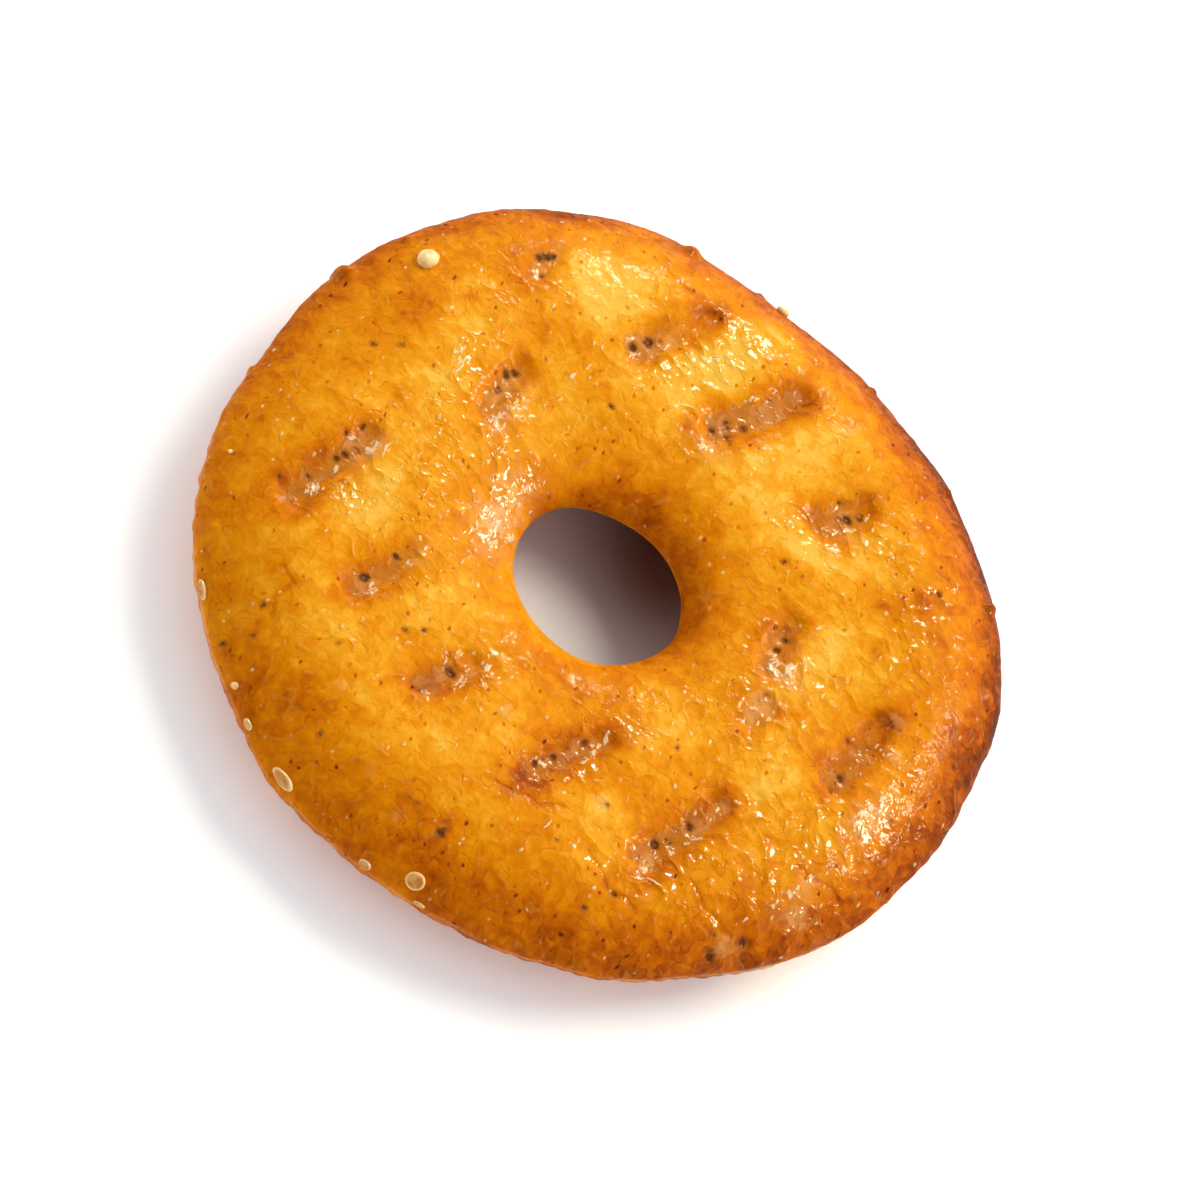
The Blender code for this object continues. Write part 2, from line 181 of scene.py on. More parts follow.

# painted glints: short pale streaks where the glaze catches the light: along X, along Y, half sizes along
# and across, slant, amount
PAINTED_GLINTS = (
    (-17.4, -4, 0.66, 0.35, 97, 1), (-16.7, -3.6, 0.74, 0.21, 101, 0.9),
    (-18.7, -9, 0.74, 0.28, 80, 1), (-18.3, -7, 0.41, 0.21, 105, 0.9),
    (-17.4, -8.7, 1.49, 0.14, 87, 0.7), (-16.7, -8.6, 1.16, 0.11, 87, 0.6),
    (-18.8, -4.3, 0.33, 0.21, 80, 0.6), (-12.2, 3.8, 0.82, 0.49, 80, 1),
    (-11.8, 5.9, 1.07, 0.42, 89, 0.85), (-11.7, 7, 0.66, 0.28, 93, 0.7),
    (-16.3, 5.4, 0.82, 0.28, 84, 0.95), (-17.1, 6.1, 0.66, 0.21, 80, 0.7),
    (-10.9, 2.5, 2.47, 0.11, 82, 0.55), (-14.7, 4.8, 0.99, 0.14, 89, 0.5),
    (-6.7, 16.9, 0.31, 0.25, 54, 0.9), (-3.7, 18.2, 1.11, 0.21, 63, 0.6),
    (-2.7, 18.3, 0.73, 0.18, 76, 0.55), (-7.9, 14.7, 0.88, 0.11, 67, 0.8),
    (-2.6, 19.7, 0.66, 0.14, 80, 0.5), (-0.7, 12.1, 0.48, 0.28, 67, 1),
    (0.2, 18.2, 1.58, 0.11, 63, 0.75), (-1.9, 12.4, 0.32, 0.14, 72, 0.6),
    (0.5, 12.4, 0.37, 0.14, 44, 0.4), (9.2, 13.5, 0.57, 0.14, 27, 0.9),
    (10.3, 14.5, 0.7, 0.17, 58, 0.95), (10.5, 15.8, 0.65, 0.13, 105, 0.7),
    (9.3, 15, 0.49, 0.11, 97, 0.6), (-10.5, -8, 0.58, 0.28, 97, 0.9),
    (-11, -9.3, 0.41, 0.18, 97, 0.8), (-11.8, -12.4, 0.66, 0.28, 93, 0.85),
    (-11.3, -8, 0.43, 0.11, 33, 0.6), (-3.6, -13.7, 0.91, 0.24, 93, 0.75),
    (-2.8, -12.1, 0.66, 0.21, 101, 0.7), (-5.1, -13.2, 0.49, 0.21, 97, 0.6),
    (-4.1, -11.5, 0.41, 0.14, 89, 0.5), (6, -11.1, 1.23, 0.17, 79, 0.8),
    (6, -10, 0.66, 0.14, 80, 0.7), (3.7, -14.6, 0.45, 0.35, 44, 0.65),
    (5.9, -12.4, 0.66, 0.21, 80, 0.6), (8.6, -14.6, 0.54, 0.28, 54, 0.5),
    (14.4, -12.3, 0.7, 0.21, 58, 0.75), (14.5, -9.5, 0.83, 0.21, 89, 0.8),
    (13.1, -15.9, 0.66, 0.35, 84, 0.65), (13.8, -14, 0.57, 0.14, -26, 0.6),
    (13.4, -12.1, 0.63, 0.14, 63, 0.5), (12.5, 2.1, 1.01, 0.49, 58, 1),
    (11.6, 2.3, 0.66, 0.28, 84, 0.95), (12.9, 3.3, 0.73, 0.21, 76, 0.7),
    (12.3, -0.7, 0.65, 0.35, 72, 0.6), (13.4, -1.7, 1.21, 0.14, 72, 0.6),
    (12.5, -2.4, 0.63, 0.11, 63, 0.5), (14.2, 2.4, 0.74, 0.14, 80, 0.5),
    (21.4, 2.5, 0.63, 0.35, -20, 0.7), (20.5, 2.3, 0.5, 0.21, -26, 0.5),
    (22.3, -2.3, 1.16, 0.35, 89, 0.95), (22.2, -3.4, 0.74, 0.24, 93, 0.85),
    (22.7, -0.9, 0.83, 0.24, 93, 0.8), (23.5, -2.7, 0.74, 0.17, 89, 0.7),
    (22.2, -4.7, 0.58, 0.14, 84, 0.6), (22.6, 0.8, 0.74, 0.14, 89, 0.6),
    (-8, -2.4, 0.91, 0.28, 93, 1), (-9.1, -2.3, 0.74, 0.21, 89, 0.9),
    (-6.9, -2.1, 0.66, 0.28, 97, 1), (-7.5, -3.4, 0.66, 0.21, 89, 0.9),
    (-9, -3.8, 0.66, 0.17, 89, 0.8), (-7.9, -0.9, 0.58, 0.14, 97, 0.7),
    (-10.3, -3, 0.74, 0.14, 84, 0.7), (-9.6, -1.2, 0.66, 0.14, 89, 0.6),
    (-8.6, -0.5, 0.74, 0.14, 84, 0.6), (-8.1, 1, 0.66, 0.14, 80, 0.6),
    (-6.9, 0.9, 0.49, 0.14, 80, 0.5), (-9.6, -5.7, 0.58, 0.14, 97, 0.6),
    (-8.3, -5.4, 0.57, 0.14, 105, 0.5), (-11.1, -4.5, 0.66, 0.14, 89, 0.6),
    (-5.8, -2.5, 0.48, 0.14, 110, 0.6), (-7.3, 2.6, 0.65, 0.14, 76, 0.5),
    (13.5, 16.1, 0.71, 0.14, 63, 0.6), (14.9, 16.3, 0.66, 0.14, 84, 0.6),
    (16.4, 16.5, 0.58, 0.14, 97, 0.6), (18, 16.1, 0.65, 0.14, 105, 0.5),
    (11.7, 17.2, 0.65, 0.14, 72, 0.5), (-9.9, 21.9, 0.82, 0.21, 80, 0.6),
    (-8.6, 21.8, 0.81, 0.14, 72, 0.6), (-9.9, 19.9, 0.66, 0.14, 84, 0.5),
    (-10.3, 10.2, 0.74, 0.14, 80, 0.6), (-10.4, 8.3, 0.74, 0.14, 84, 0.6),
    (-9.7, 11.9, 0.66, 0.14, 80, 0.5), (21.2, -11.8, 0.74, 0.21, 84, 0.6),
    (21.6, -10.2, 0.74, 0.21, 89, 0.65), (22, -8.7, 0.66, 0.21, 84, 0.6),
    (22.5, -7.3, 0.74, 0.18, 84, 0.6), (22.4, -11.5, 0.57, 0.14, 80, 0.5),
    (22.8, -5.2, 0.74, 0.17, 89, 0.55), (20.2, -14.2, 0.57, 0.14, 72, 0.5),
    (21.1, 7.3, 0.58, 0.14, 97, 0.5), (21.8, 4.6, 0.58, 0.14, 89, 0.5),
    (20.9, 9.7, 0.49, 0.14, 105, 0.4), (16, 4.8, 0.66, 0.14, 84, 0.5),
    (16.3, 2.7, 0.57, 0.14, 80, 0.5), (12.5, 6.4, 0.65, 0.14, 76, 0.5),
    (10.7, 6.5, 0.58, 0.14, 89, 0.5), (-16.7, -14.6, 0.66, 0.14, 97, 0.5),
    (-15.4, -14.9, 0.66, 0.14, 89, 0.5), (-16.2, -16.5, 0.49, 0.14, 105, 0.45),
    (-15, -4.5, 0.74, 0.14, 89, 0.5), (-14.9, -2.1, 0.74, 0.14, 89, 0.5),
    (-14.7, 0, 0.74, 0.14, 87, 0.5), (8.5, -18.4, 0.65, 0.14, 72, 0.5),
    (6.5, -18.6, 0.58, 0.14, 84, 0.4), (3.7, -18.6, 0.58, 0.14, 89, 0.4),
)

# fine cracks in the skin, as runs of points
CRACKS = (
    ((2.2, -18.3), (3.3, -18.1), (4.4, -17.5), (5.4, -17.6), (6.6, -16.5)),
    ((9.6, -18.0), (10.9, -18.5), (12.0, -19.2), (13.2, -18.9), (14.3, -19.1)),
    ((20.9, -8.8), (22.2, -8.7), (23.4, -8.2), (24.6, -8.1)),
    ((-17.0, -15.2), (-15.9, -15.9), (-16.3, -17.3), (-15.6, -18.4)),
    ((16.0, -15.0), (17.6, -15.6), (19.2, -15.4)),
    ((-10.0, 21.8), (-8.0, 21.5), (-6.8, 21.9)),
)

# nubs of dough on the rim: along X, along Y, size, height
NUBS = (
    (20.6, 17.3, 0.45, 0.45), (-26.0, 6.9, 0.50, 0.42), (-9.2, 25.5, 0.55, 0.34),
    (-24.2, 11.6, 0.32, 0.25), (-15.9, 21.9, 0.30, 0.22), (-3.9, 26.8, 0.35, 0.24),
    (-26.8, -3.0, 0.30, 0.20), (26.6, -4.6, 0.30, 0.16), (-22.2, -15.0, 0.35, 0.20),
    (5.8, 26.0, 0.30, 0.20), (13.8, 22.9, 0.30, 0.20), (24.0, 11.6, 0.35, 0.20),
)

FOLDS = 16
SLUMPS = ((22, 3.4, 1.0), (96, 5.5, 0.75), (171, 3.0, 0.95), (238, 4.6, 0.7),
          (309, 3.2, 1.05))


def quarter(t, power=2.0):
    t = np.clip(t, 0.0, 1.0)
    return (1.0 - (1.0 - t) ** power) ** (1.0 / power)


def ease(t):
    t = np.clip(t, 0.0, 1.0)
    return t * t * (3.0 - 2.0 * t)


def waves(theta, terms):
    return sum(a * np.cos(n * theta - math.radians(p)) for n, a, p in terms)


def lumps(x, y, size, seed, count=14):
    rng = np.random.RandomState(seed)
    total = np.zeros_like(x)
    for _ in range(count):
        way = rng.uniform(0.0, 2.0 * math.pi)
        k = math.pi / size * rng.uniform(0.55, 1.25)
        total += np.cos(k * (x * math.cos(way) + y * math.sin(way))
                        + rng.uniform(0.0, 2.0 * math.pi))
    return total / math.sqrt(count)


# ---------------------------------------------------------------------------
# smooth noise in space, seeded
# ---------------------------------------------------------------------------
def _hash(ix, iy, iz, seed):
    h = (ix.astype(np.uint64) * np.uint64(374761393)
         + iy.astype(np.uint64) * np.uint64(668265263)
         + iz.astype(np.uint64) * np.uint64(2246822519)
         + np.uint64(seed * 3266489917 % (1 << 32)))
    h &= np.uint64(0xFFFFFFFF)
    h ^= h >> np.uint64(15)
    h = (h * np.uint64(2246822519)) & np.uint64(0xFFFFFFFF)
    h ^= h >> np.uint64(13)
    h = (h * np.uint64(3266489917)) & np.uint64(0xFFFFFFFF)
    h ^= h >> np.uint64(16)
    return h


def noise(p, size, seed):
    """Gradient noise, about -1 to 1, with features about size across."""
    q = p / size + 1000.0
    i = np.floor(q).astype(np.int64)
    f = q - i
    w = f * f * f * (f * (f * 6.0 - 15.0) + 10.0)
    total = np.zeros(len(p))
    for dx in (0, 1):
        for dy in (0, 1):
            for dz in (0, 1):
                h = _hash(i[:, 0] + dx, i[:, 1] + dy, i[:, 2] + dz, seed)
                g = np.stack([((h >> np.uint64(s)) & np.uint64(1023)).astype(float)
                              / 511.5 - 1.0 for s in (0, 10, 20)], 1)
                d = f - np.array([dx, dy, dz])
                k = (np.where(dx, w[:, 0], 1 - w[:, 0])
                     * np.where(dy, w[:, 1], 1 - w[:, 1])
                     * np.where(dz, w[:, 2], 1 - w[:, 2]))
                total += k * (g * d).sum(1)
    return total * 1.5


def fbm(p, size, seed, octaves=3, gain=0.5):
    total, amp, norm = np.zeros(len(p)), 1.0, 0.0
    for o in range(octaves):
        total += amp * noise(p, size / 2 ** o, seed + 17 * o)
        norm += amp
        amp *= gain
    return total / norm


def ridges(p, size, seed, octaves=2):
    """Thin raised wrinkles, 0 to 1."""
    total, amp, norm = np.zeros(len(p)), 1.0, 0.0
    for o in range(octaves):
        total += amp * (1.0 - np.minimum(np.abs(noise(p, size / 2 ** o, seed + 31 * o)) * 2.2, 1.0)) ** 2
        norm += amp
        amp *= 0.5
    return total / norm


# ---------------------------------------------------------------------------
# marks of the oven belt
# ---------------------------------------------------------------------------
def belt(x, y):
    """Depth of the dents; distance from the nearest dash's edge in mm; place
    along that dash from -1 to 1; its strength; and where its film ends."""
    depth = np.zeros_like(x)
    near = np.full_like(x, 9.0)
    along, strong, ends = np.zeros_like(x), np.zeros_like(x), np.zeros_like(x)
    for cx, cy, length, slant, wide, deep, mark, film in BELT_DENTS:
        a = math.radians(slant)
        s = (x - cx) * math.cos(a) + (y - cy) * math.sin(a)
        t = -(x - cx) * math.sin(a) + (y - cy) * math.cos(a)
        half = length / 2.0
        t = t + 0.12 * np.sin(s * 1.1 + cx)
        past = np.maximum(np.abs(s) - (half - wide), 0.0)
        away = np.hypot(t, past) - wide * (1.0 - 0.22 * s / half)
        slack = np.exp(-(t / DENT_SLACK) ** 2 - (s / (half + 2.0)) ** 2)
        depth += deep * (0.58 * ease((0.55 - away) / 1.3) + 0.70 * slack)
        closer = away < near
        near = np.where(closer, away, near)
        along = np.where(closer, s / half, along)
        strong = np.where(closer, mark, strong)
        ends = np.where(closer, film, ends)
    return depth, near, along, strong, ends


def soft_sum(x, y, patches):
    total = np.zeros_like(x)
    for cx, cy, half_x, half_y, slant, amount in patches:
        a = math.radians(slant)
        s = (x - cx) * math.cos(a) + (y - cy) * math.sin(a)
        t = -(x - cx) * math.sin(a) + (y - cy) * math.cos(a)
        total += amount * np.exp(-((s / half_x) ** 2 + (t / half_y) ** 2) ** 0.9)
    return total


def streaks(x, y, marks):
    """Painted glints: short pale strokes, 0 to 1, strongest along their middles."""
    total = np.zeros_like(x)
    for cx, cy, half, wide, slant, amount in marks:
        near = (np.abs(x - cx) < half + 1.0) & (np.abs(y - cy) < half + 1.0)
        a = math.radians(slant)
        dx, dy = x[near] - cx, y[near] - cy
        s = dx * math.cos(a) + dy * math.sin(a)
        t = -dx * math.sin(a) + dy * math.cos(a) + 0.05 * np.sin(4.0 * s + cx * 9.0)
        glint_stroke = amount * np.exp(-np.abs(s / half) ** 3 - (t / (max(wide, 0.13) * 1.15)) ** 2)
        total[near] = np.maximum(total[near], glint_stroke)
    return total


def nearest_edge(x, y, ovals):
    """Distance in mm from the nearest oval's edge, less than 0 inside."""
    near = np.full_like(x, 9.0)
    for cx, cy, half_x, half_y, slant in ovals:
        a = math.radians(slant)
        s = (x - cx) * math.cos(a) + (y - cy) * math.sin(a)
        t = -(x - cx) * math.sin(a) + (y - cy) * math.cos(a)
        near = np.minimum(near, (np.hypot(s / half_x, t / half_y) - 1.0) * min(half_x, half_y))
    return near


def nearest_run(x, y, runs):
    near = np.full_like(x, 9.0)
    for run in runs:
        for (ax, ay), (bx, by) in zip(run, run[1:]):
            dx, dy = bx - ax, by - ay
            u = np.clip(((x - ax) * dx + (y - ay) * dy) / (dx * dx + dy * dy), 0, 1)
            near = np.minimum(near, np.hypot(x - ax - u * dx, y - ay - u * dy))
    return near


def folds(theta, inward):
    rng = np.random.RandomState(11)
    total = np.zeros_like(theta)
    for k in range(FOLDS):
        at = 2.0 * math.pi * (k + rng.uniform(-0.27, 0.27)) / FOLDS
        depth = rng.uniform(0.25, 0.75)
        start, end = rng.uniform(2.2, 4.5), rng.uniform(8.5, 13.0)
        lean = rng.uniform(-0.035, 0.035)
        across = (np.angle(np.exp(1j * (theta - at - lean * (inward - 6.0))))
                  * (inward + R_HOLE))
        along = ease((inward - start) / 2.5) * ease((end - inward) / 4.0)
        total += depth * along * np.exp(-(across / 1.15) ** 2)
    return total


def slumps(theta, inward):
    total = np.zeros_like(theta)
    for k, (at, half, depth) in enumerate(SLUMPS):
        lean = 0.02 * (-1) ** k
        across = (np.angle(np.exp(1j * (theta - math.radians(at)
                                        - lean * (inward - 8.0))))
                  * (inward + R_HOLE))
        total += depth * ease(inward / 6.0) * np.exp(-(across / half) ** 2)
    return total


SHIFT = [0.0, 0.0]  # centres the ring as the CAD solid is centred


def dough(rho, theta, side):
    """Place of a point of the skin in mm, with its distances from the two edges."""
    r_in = R_HOLE + waves(theta, HOLE_WAVES)
    r_out = R_RIM + waves(theta, RIM_WAVES)
    width = r_out - r_in
    inward, outward = rho * width, (1.0 - rho) * width
    r = r_in + inward
    x = r * np.cos(theta) + HOLE_OFF * (1.0 - rho)
    y = r * np.sin(theta)
    z_rim = Z_RIM + waves(theta, RIM_SAG)
    middle = Z_WAIST + (z_rim - Z_WAIST) * ease(rho)

    depth = belt(x, y)[0]
    top = Z_LIP + (Z_TOP - Z_LIP) * ease((inward - 2.0) / 6.0)
    top = top + 0.20 * lumps(x, y, 11.0, 3) + 0.09 * lumps(x, y, 5.0, 4)
    top = top - depth
    rise = top - middle
    edge = RIM_TOP / np.maximum(rise, 0.5)
    fall = (edge * quarter(outward / RIM_EDGE)
            + (1.0 - edge) * (1.0 - (1.0 - np.clip(outward / TOP_ROLL_OUT, 0, 1)) ** 2.3))
    z_top = middle + rise * quarter(inward / TOP_ROLL_IN) * fall

    under = Z_SUNK + (Z_CREST - Z_SUNK) * ease((inward - 1.8) / (CREST_AT - 1.8))
    under = under - 0.26 * lumps(x, y, 9.0, 7) - 0.10 * lumps(x, y, 4.5, 8)
    under = under + folds(theta, inward) + slumps(theta, inward)
    drop = middle - under
    edge = RIM_UNDER / np.maximum(drop, 0.5)
    shoulder = np.clip((outward - FLANGE) / DOME_ROLL_OUT, 0, 1)
    fall = (edge * quarter(outward / RIM_EDGE)
            + (1.0 - edge) * quarter(shoulder, 1.55))
    z_under = middle - drop * quarter(inward / DOME_ROLL_IN, LIP_POWER) * fall

    z = np.where(side > 0, z_top, np.where(side < 0, z_under, middle))
    return np.stack([x + SHIFT[0], y + SHIFT[1], z], 1), inward, outward


def spaced(count, rim_mm, hole_mm):
    """rho values from hole to rim, closer together at both ends."""
    width = R_RIM - R_HOLE
    t = np.linspace(0, 1, 4001)
    dense = (1.0 + 3.2 * np.exp(-(1 - t) * width / rim_mm)
             + 1.6 * np.exp(-t * width / hole_mm))
    # round ends: steps shrink towards the very edge, where the skin stands upright
    dense = dense + 0.35 / np.sqrt(np.maximum(np.minimum(t, 1 - t), 1e-4))
    run = np.concatenate([[0], np.cumsum((dense[1:] + dense[:-1]) / 2)])
    return np.interp(np.linspace(0, run[-1], count + 1), run, t)


AROUND = 640
TOP_STEPS, UNDER_STEPS = 122, 32


def ring_grid():
    top = spaced(TOP_STEPS, 0.9, 1.2)
    under = spaced(UNDER_STEPS, 0.9, 1.2)[::-1][1:-1]
    rho1 = np.concatenate([top, under])
    side1 = np.concatenate([[0], np.ones(TOP_STEPS - 1), [0], -np.ones(UNDER_STEPS - 1)])
    theta1 = np.arange(AROUND) * 2.0 * math.pi / AROUND
    theta, rho = np.meshgrid(theta1, rho1, indexing="ij")
    side = np.broadcast_to(side1, theta.shape)
    return theta.ravel(), rho.ravel(), side.ravel().copy(), len(rho1)


def grid_faces(n_around, n_section):
    i = np.arange(n_around)[:, None]
    j = np.arange(n_section)[None, :]
    a = i * n_section + j
    b = ((i + 1) % n_around) * n_section + j
    c = ((i + 1) % n_around) * n_section + (j + 1) % n_section
    d = i * n_section + (j + 1) % n_section
    return np.stack([a, b, c, d], -1).reshape(-1, 4)


def grid_normals(co, n_around, n_section):
    g = co.reshape(n_around, n_section, 3)
    du = np.roll(g, -1, 0) - np.roll(g, 1, 0)
    dv = np.roll(g, -1, 1) - np.roll(g, 1, 1)
    n = np.cross(du, dv)
    n /= np.maximum(np.linalg.norm(n, axis=2, keepdims=True), 1e-12)
    return n.reshape(-1, 3)


def new_mesh(name, co_mm, faces, smooth=True):
    me = bpy.data.meshes.new(name)
    me.from_pydata([], [], [])
    co = (np.asarray(co_mm, float) * MM).astype(np.float32)
    faces = np.asarray(faces, np.int32)
    me.vertices.add(len(co))
    me.vertices.foreach_set("co", co.ravel())
    k = faces.shape[1]
    me.loops.add(faces.size)
    me.loops.foreach_set("vertex_index", faces.ravel())
    me.polygons.add(len(faces))
    me.polygons.foreach_set("loop_start", np.arange(0, faces.size, k, dtype=np.int32))
    me.update(calc_edges=True)
    me.validate()
    if smooth:
        me.shade_smooth()
    ob = bpy.data.objects.new(name, me)
    bpy.context.scene.collection.objects.link(ob)
    return ob


def attribute(ob, name, values):
    at = ob.data.attributes.new(name, "FLOAT", "POINT")
    at.data.foreach_set("value", np.asarray(values, np.float32))


# centre as the CAD solid does: by the box of the plain skin on the CAD's grid
def cad_shift():
    t = np.arange(96) * 2.0 * math.pi / 96
    edge = R_RIM + waves(t, RIM_WAVES)
    x, y = edge * np.cos(t), edge * np.sin(t)
    return [-(x.min() + x.max()) / 2, -(y.min() + y.max()) / 2]


SHIFT[:] = cad_shift()


def make_ring():
    theta, rho, side, n_sec = ring_grid()
    co, inward, outward = dough(rho, theta, side)
    normal = grid_normals(co, AROUND, n_sec)
    flip = normal[side > 0][:, 2].mean() < 0
    if flip:
        normal = -normal
    x, y = co[:, 0] - SHIFT[0], co[:, 1] - SHIFT[1]
    shown = side > 0
    far = np.where(shown, 0.0, 9.0)
    _, dash_d, dash_s, dash_k, dash_end = belt(x, y)
    dash_d, dash_k = dash_d + far, dash_k * shown

    # relief finer than the solid's
    warp = np.stack([noise(co, 3.0, s) for s in (41, 42, 43)], 1)
    p = co + 0.8 * warp
    pebble = fbm(p, 2.2, 51, 2)
    leather = ridges(p, 1.5, 61, 2)
    grain = noise(co, 0.8, 71)
    outer = np.exp(-(outward / 5.0) ** 2)
    upper_left = ease((-x * 0.8 + y * 0.5 - 4.0) / 14.0) * shown
    smooth = np.exp(-(inward / 2.6) ** 2)
    coarse = (0.55 + 0.50 * np.maximum(outer, upper_left)) * (1.0 - 0.75 * smooth)
    in_dash = ease((0.3 - dash_d) / 0.8)
    lift = coarse * (1.0 - 0.5 * in_dash) * (
        0.060 * pebble + 0.036 * (leather - 0.35) + 0.016 * grain)
    # blisters: few, low and round
    blister = np.maximum(noise(co, 3.0, 81) - 0.45, 0.0)
    lift += 0.22 * blister * (1 - in_dash)
    lift -= 0.12 * dash_k * ease((0.45 - dash_d + 0.30 * noise(p, 1.1, 87)) / 0.75)
    # the rim: a thin uneven lip with a seam under it
    rimness = np.exp(-outward / 0.8)
    along_rim = np.stack([theta * R_RIM, 0 * theta, co[:, 2]], 1)
    node = fbm(along_rim, 1.3, 91, 3)
    lift += rimness * 0.11 * node
    z_rel = co[:, 2] - (Z_RIM + waves(theta, RIM_SAG))
    at_rim = outward < 1.2
    drift = 0.12 * noise(along_rim, 3.0, 95)
    seam = np.exp(-((z_rel + 0.24 + drift) / 0.12) ** 2) * at_rim
    # a pale line, here and there, along the upper edge of that seam
    lip = (np.exp(-((z_rel - 0.02 + drift) / 0.10) ** 2) * at_rim
           * np.clip(0.45 + 1.3 * noise(along_rim, 2.4, 98), 0, 1)
           * (0.15 + 0.85 * ease((np.cos(theta + 1.5) + 0.5) / 0.9)))
    lower = ease((-z_rel - 0.30) / 0.16) * ease((z_rel + 1.0) / 0.3) * at_rim
    lift -= 0.14 * seam
    lift += 0.15 * lower * (0.35 + 0.9 * noise(along_rim, 0.85, 99))
    for nx, ny, size, height in NUBS:
        nub = np.exp(-(((x - nx) ** 2 + (y - ny) ** 2) / size ** 2) ** 1.5)
        lift += height * nub * (co[:, 2] > 3.0)
    crack = nearest_run(x + 0.22 * warp[:, 1], y + 0.22 * warp[:, 2], CRACKS) + far
    lift -= 0.06 * np.exp(-(crack / 0.22) ** 2)
    bent = np.stack([noise(co, 0.7, k) for k in (44, 45)], 1)
    pin = nearest_edge(x + 0.12 * bent[:, 0], y + 0.12 * bent[:, 1],
                       [(px, py, r, r, 0) for px, py, r in PINHOLES]) + far
    lift -= 0.10 * ease((0.25 - pin) / 0.5)
    # pale films, partly a painted sheen
    film = nearest_edge(x + 0.25 * warp[:, 0], y + 0.25 * warp[:, 1], FILMS_AND_SHEENS) + far
    # painted glints, with a little real relief under them
    painted_glint = streaks(x, y, PAINTED_GLINTS) * shown
    lift += 0.05 * painted_glint
    co = co + normal * lift[:, None]
    co[:, 2] = np.maximum(co[:, 2], 0.0)

    faces = grid_faces(AROUND, n_sec)
    if flip:
        faces = faces[:, ::-1]
    ob = new_mesh("pretzel_crust", co, faces)

    # how far the crust is baked, with painted shade and light on some sides: 0 pale yellow, 1 dark brown
    blotch = fbm(co, 7.0, 101, 2)
    mottle = fbm(p, 2.4, 111, 2)
    spots = fbm(p, 1.1, 121, 2)
    tone = 0.27 + 0.12 * blotch + 0.15 * mottle + 0.11 * spots
    near_side = np.maximum(np.cos(theta + 0.87), 0.0) ** 2
    right_side = np.maximum(np.cos(theta - 0.80), 0.0) ** 3
    scorched = np.maximum(np.cos(theta + 0.30), 0.0) ** 6
    # painted shade and light: darker towards the near side, paler towards the far side
    tone += 0.035 * np.cos(theta + 1.29) * shown
    tone += 0.16 * np.exp(-(outward / 4.2) ** 2)
    # a darker rim, more so on the far, right and near sides: partly browner bake, partly painted shade
    tone += (0.18 + 0.20 * np.cos(theta - 1.6) + 0.18 * right_side) * np.exp(-(outward / 1.45) ** 1.5)
    tone += 0.25 * near_side * np.exp(-(outward / 2.5) ** 2)
    tone += 0.34 * right_side * np.exp(-(outward / 4.2) ** 2)
    # paler on the left outer slope: painted light
    tone -= 0.075 * np.maximum(np.cos(theta - 3.90), 0.0) ** 8 * np.exp(-(outward / 5.0) ** 2)
    tone += 0.03 * scorched * np.exp(-(outward / 3.4) ** 2)
    tone += 1.80 * soft_sum(x, y, [k for k in PATCHES if k[5] < 0]) * shown
    tone += 1.25 * soft_sum(x, y, [k for k in PATCHES if k[5] > 0]) * shown
    tone = np.where(tone > 0.60, 0.60 + 0.66 * (tone - 0.60), tone)
    # the roll into the hole: a deeper orange, with painted shade making the far side darker and the near
    # one lighter
    tone += shown * np.exp(-(inward / 3.6) ** 2) * (0.20 + 0.12 * np.sin(theta))
    tone += np.where(side < 0, 0.13 + 0.16 * np.exp(-inward / 3.0), 0.0)
    tone += 0.12 * seam + 0.02 * lower
    # under the rim the dough is paler
    pale = (side < 0) * ease((1.9 - outward) / 0.8) * ease(outward / 0.35)
    tone -= pale * (0.26 + 0.25 * noise(along_rim, 2.5, 97))
    # left uncoated for a short way along the near edge
    bare = np.exp(-((np.angle(np.exp(1j * (theta - math.radians(-27)))) * R_RIM) / 3.4) ** 4)
    bare = bare * ease((0.1 - z_rel) / 0.3) * (outward < 2.2)
    glaze = np.where(shown, soft_sum(x, y, GLAZED), 0.5 + 0.8 * noise(co, 7.0, 131))
    glaze = glaze + 0.30 + 0.35 * noise(co, 3.5, 133) - 0.22 * outer
    glaze = np.clip(glaze, 0.05, 1.3) * (1 - 0.25 * smooth)
    wet = np.clip(0.62 + 0.9 * fbm(co, 4.7, 141, 2), 0.15, 1.0)
    wet = wet * (1 - 0.45 * smooth) * (1 - 0.70 * np.exp(-(outward / 1.5) ** 2))
    wet = wet * (1 - 0.45 * np.exp(-((x - 24.4) ** 2 + (y - 1.2) ** 2) / 2.0 ** 2))
    for name, values in (("tone", tone), ("glaze", glaze), ("dash_d", dash_d), ("dash_s", dash_s),
                         ("dash_k", dash_k), ("dash_end", dash_end), ("pin_d", pin),
                         ("film_sheen_d", film), ("crack_d", crack), ("bare", bare),
                         ("wet", wet), ("lip", lip), ("painted_glint", painted_glint), ("mott", 0.5 + 0.45 * mottle),
                         ("smooth", smooth), ("painted_sheen", soft_sum(x, y, PAINTED_SHEENS) * shown)):
        attribute(ob, name, values)
    # warped places, so that the wrinkles curl
    curl = np.stack([fbm(co, 1.9, k, 2) for k in (151, 152, 153)], 1)
    at = ob.data.attributes.new("place", "FLOAT_VECTOR", "POINT")
    at.data.foreach_set("vector", ((co + 0.42 * curl) * MM).astype(np.float32).ravel())
    return ob, co.reshape(AROUND, n_sec, 3), normal.reshape(AROUND, n_sec, 3)


